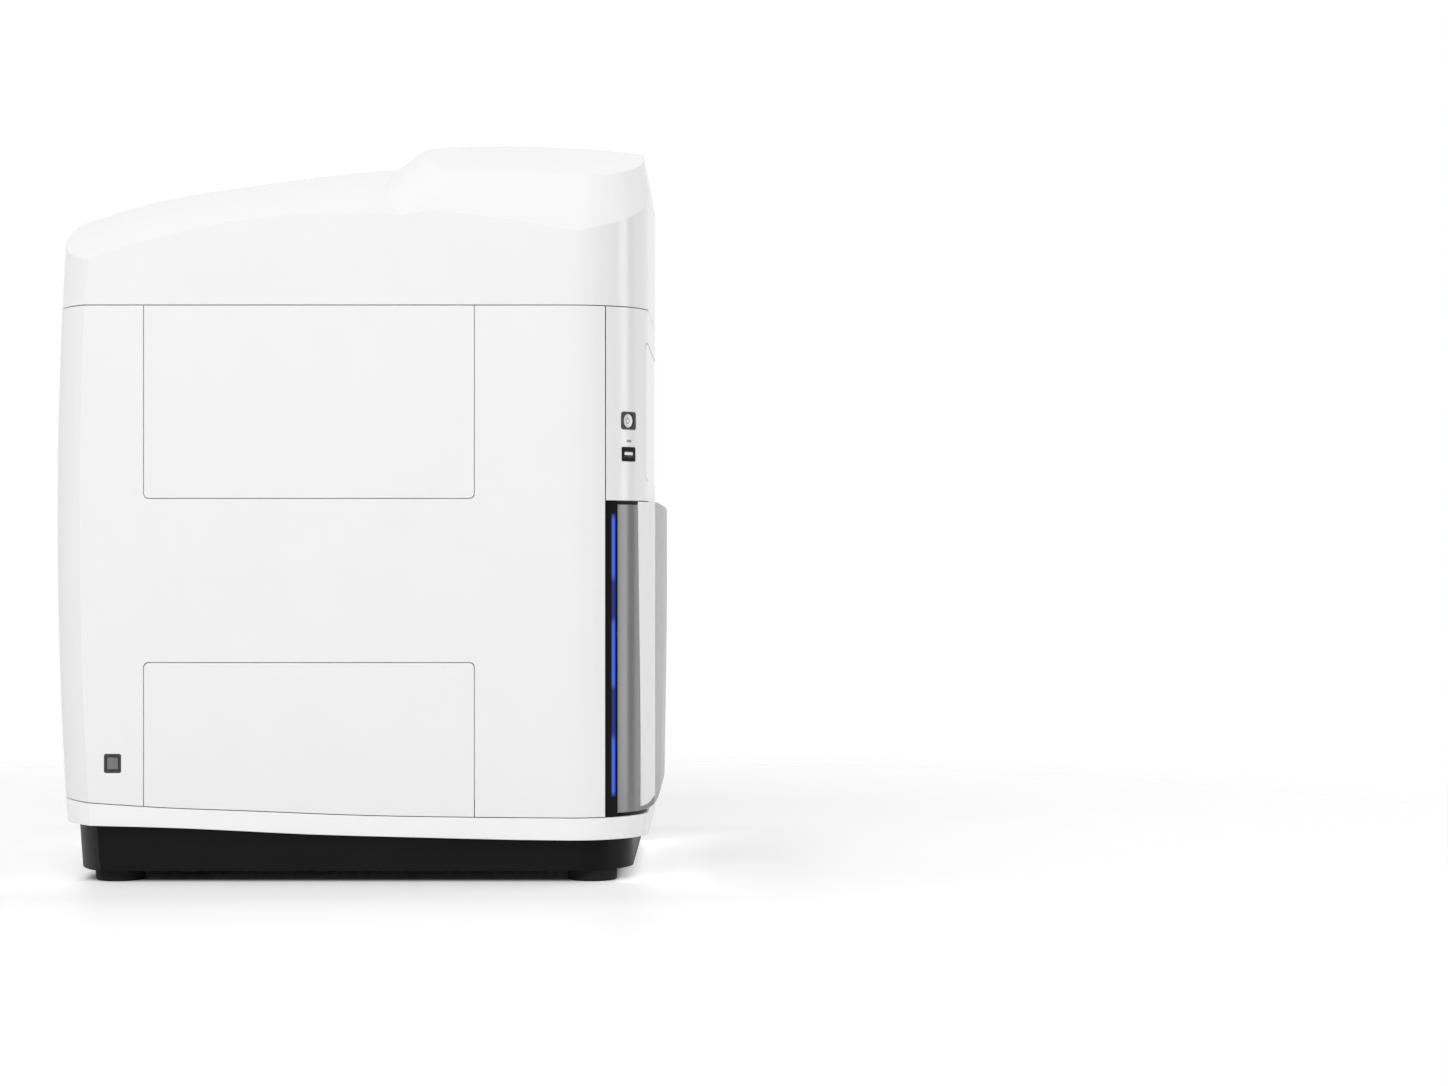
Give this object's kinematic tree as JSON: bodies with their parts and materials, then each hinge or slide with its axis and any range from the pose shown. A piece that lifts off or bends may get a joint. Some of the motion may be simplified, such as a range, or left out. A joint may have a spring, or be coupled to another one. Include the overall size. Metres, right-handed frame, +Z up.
{
  "type": "digital slide scanner",
  "caption": "Benchtop scanner for microscope slides: white upright housing with a raised hood, front loading door, lit edge bar, tray magazine, lift, motion stage and focusing optics.",
  "frame": {"origin": "centre of the overall width and depth, on the surface the feet stand on", "axes": "+Z up, -Y towards the front with the door, +X towards the door's hinge side"},
  "size_m": [0.45, 0.621, 0.7637],
  "materials": {
    "white_gloss": "smooth semi-gloss white moulding",
    "white_paint": "satin white powder coat",
    "black_paint": "satin black paint",
    "black_rubber": "matte",
    "black_plastic": "fine matte",
    "dark_plastic": "matte dark grey",
    "grey_plastic": "satin mid grey",
    "white_plastic": "matte white",
    "satin_grey": "smoked grey, satin gloss",
    "blue_light": "lit blue diffuser",
    "zinc_steel": "zinc-plated sheet",
    "steel": "ground steel",
    "aluminium": "machined, clear anodised",
    "black_anodised": "black anodised",
    "tray_plastic": "matte grey",
    "board_green": "solder mask",
    "glass": "clear slide glass"
  },
  "bodies": {
    "housing": {"base_plinth": "black_paint", "base_plate": "zinc_steel", "feet": "black_rubber", "skirt": "white_gloss", "left_side_panel": "white_paint", "right_side_panel": "white_paint", "rear_panel": "white_paint", "hood": "white_gloss", "front_fascia": "white_gloss", "status_panel": "white_gloss", "light_bar_housing": "black_plastic", "light_bar": "blue_light", "power_button_bezel": "dark_plastic", "usb_port": "dark_plastic", "main_switch_bezel": "dark_plastic", "hinge_pins": "zinc_steel", "door_magnet": "zinc_steel", "chassis_frame": "zinc_steel", "optics_deck": "aluminium", "bay_liner": "black_paint", "magazine_rack": "aluminium", "lift_column": "aluminium", "stage_base": "aluminium", "optics_column": "aluminium", "illuminator": "black_anodised", "bulkhead": "zinc_steel", "power_supply": "zinc_steel", "control_board": "board_green", "fan_frame": "black_plastic", "mains_inlet": "black_plastic", "data_ports": "black_plastic"},
    "door": {"door_frame": "white_gloss", "door_window": "satin_grey", "door_front_panel": "satin_grey", "door_liner": "white_plastic", "door_pull": "dark_plastic", "door_gasket": "black_rubber", "door_bushings": "white_plastic"},
    "power_key": {"power_button": "grey_plastic"},
    "main_switch_key": {"main_switch": "grey_plastic"},
    "upper_cover": {"left_upper_cover": "white_paint"},
    "lower_cover": {"left_lower_cover": "white_paint"},
    "slide_tray_1": {"tray_1": "tray_plastic", "slides_1": "glass"},
    "slide_tray_2": {"tray_2": "tray_plastic", "slides_2": "glass"},
    "slide_tray_3": {"tray_3": "tray_plastic", "slides_3": "glass"},
    "slide_tray_4": {"tray_4": "tray_plastic", "slides_4": "glass"},
    "lift": {"lift_carriage": "aluminium"},
    "lift_gripper": {"gripper": "black_anodised"},
    "screw": {"lift_screw": "steel"},
    "cross_slide": {"stage_cross_slide": "black_anodised"},
    "specimen_holder": {"stage_holder": "black_anodised", "stage_slide": "glass"},
    "focus_head": {"focus_carriage": "black_anodised", "imaging_camera": "black_anodised"},
    "nosepiece": {"objective_turret": "steel"},
    "fan": {"fan_rotor": "black_plastic"}
  },
  "joints": [
    {"name": "door_hinge", "type": "hinge", "parent": "housing", "child": "door", "pos_m": [0.192, -0.27, 0.226], "axis": [0, 0, 1], "range_deg": [0, 105]},
    {"name": "power_button_press", "type": "slide", "parent": "housing", "child": "power_key", "axis": [0.6414, 0.7672, 0], "range_m": [0, 0.0018], "stiffness_N_per_m": 600},
    {"name": "main_switch_press", "type": "slide", "parent": "housing", "child": "main_switch_key", "axis": [1, 0, 0], "range_m": [0, 0.0025], "stiffness_N_per_m": 600},
    {"name": "upper_cover_lift_off", "type": "slide", "parent": "housing", "child": "upper_cover", "axis": [-1, 0, 0], "range_m": [0, 0.08]},
    {"name": "lower_cover_lift_off", "type": "slide", "parent": "housing", "child": "lower_cover", "axis": [-1, 0, 0], "range_m": [0, 0.08]},
    {"name": "tray_1_slide", "type": "slide", "parent": "housing", "child": "slide_tray_1", "axis": [0, 1, 0], "range_m": [-0.018, 0.15]},
    {"name": "tray_2_slide", "type": "slide", "parent": "housing", "child": "slide_tray_2", "axis": [0, 1, 0], "range_m": [-0.018, 0.15]},
    {"name": "tray_3_slide", "type": "slide", "parent": "housing", "child": "slide_tray_3", "axis": [0, 1, 0], "range_m": [-0.018, 0.15]},
    {"name": "tray_4_slide", "type": "slide", "parent": "housing", "child": "slide_tray_4", "axis": [0, 1, 0], "range_m": [-0.018, 0.15]},
    {"name": "lift_travel", "type": "slide", "parent": "housing", "child": "lift", "axis": [0, 0, 1], "range_m": [0, 0.2]},
    {"name": "gripper_reach", "type": "slide", "parent": "lift", "child": "lift_gripper", "axis": [0, -1, 0], "range_m": [0, 0.1]},
    {"name": "lift_screw_turn", "type": "hinge", "parent": "housing", "child": "screw", "pos_m": [0.034, 0.147, 0.2], "axis": [0, 0, 1], "range_deg": [0, 3600.5]},
    {"name": "stage_x_travel", "type": "slide", "parent": "housing", "child": "cross_slide", "axis": [1, 0, 0], "range_m": [-0.03, 0.03]},
    {"name": "stage_y_travel", "type": "slide", "parent": "cross_slide", "child": "specimen_holder", "axis": [0, 1, 0], "range_m": [-0.02, 0.02]},
    {"name": "focus_travel", "type": "slide", "parent": "housing", "child": "focus_head", "axis": [0, 0, 1], "range_m": [-0.01, 0.01]},
    {"name": "nosepiece_turn", "type": "hinge", "parent": "focus_head", "child": "nosepiece", "pos_m": [0, -0.03, 0.526], "axis": [0, 0, 1], "continuous": true},
    {"name": "fan_spin", "type": "hinge", "parent": "housing", "child": "fan", "pos_m": [0, 0.291, 0.485], "axis": [0, 1, 0], "continuous": true}
  ],
  "couplings": [
    {"joint": "lift_screw_turn", "follows": "lift_travel", "rad_per_m": 314.16}
  ]
}
